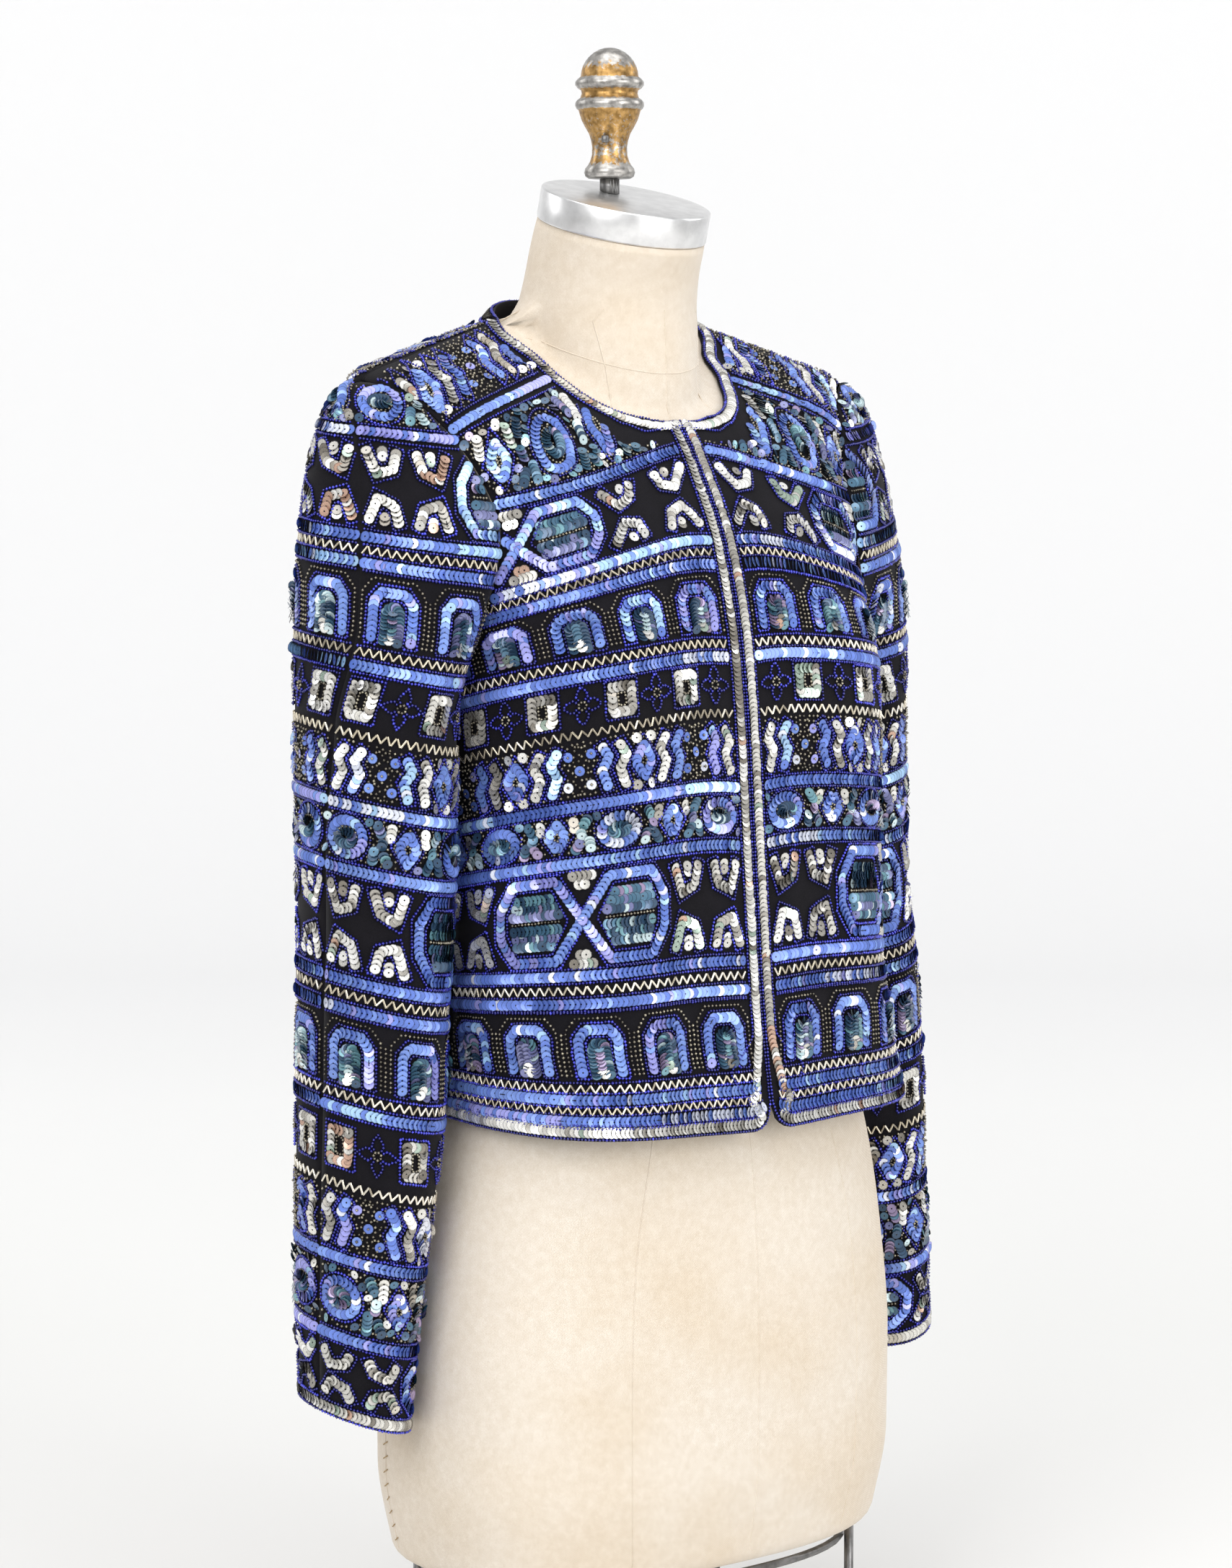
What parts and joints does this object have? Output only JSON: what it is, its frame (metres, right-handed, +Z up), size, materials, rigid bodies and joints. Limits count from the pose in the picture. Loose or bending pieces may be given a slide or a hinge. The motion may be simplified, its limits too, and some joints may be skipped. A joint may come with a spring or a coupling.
{
  "type": "sequin jacket on a limbless dress form",
  "caption": "Cropped collarless long-sleeved evening jacket with banded sequin and bead work, worn by a limbless linen dress form on a low steel foot.",
  "frame": {"origin": "centre of the whole's box on the floor under the foot", "axes": "+Z up, the jacket's front faces -Y, +X is the form's own left"},
  "size_m": [0.4778, 0.2452, 1.0046],
  "materials": {
    "beaded_cloth": "black crepe ground under close bead and sequin work",
    "sequins": "flat satin sequins sewn overlapping",
    "glass_beads": "small glass seed and bugle beads",
    "linen_cover": "plain cream linen, matt",
    "aluminium": "brushed",
    "worn_gilt": "old gilt paint worn through to grey metal",
    "steel": "dull mild steel"
  },
  "bodies": {
    "root": {"front_right": "beaded_cloth", "front_left": "beaded_cloth", "back": "beaded_cloth", "sleeve_right_front": "beaded_cloth", "sleeve_right_back": "beaded_cloth", "sleeve_left_front": "beaded_cloth", "sleeve_left_back": "beaded_cloth", "form_body": "linen_cover", "neck_cap": "aluminium", "post": "steel", "finial": "worn_gilt", "set_screw": "steel", "foot_hoop": "steel", "foot_ring": "steel", "foot_rod_front_left": "steel", "foot_rod_front_right": "steel", "foot_rod_back_left": "steel", "foot_rod_back_right": "steel"}
  },
  "joints": []
}
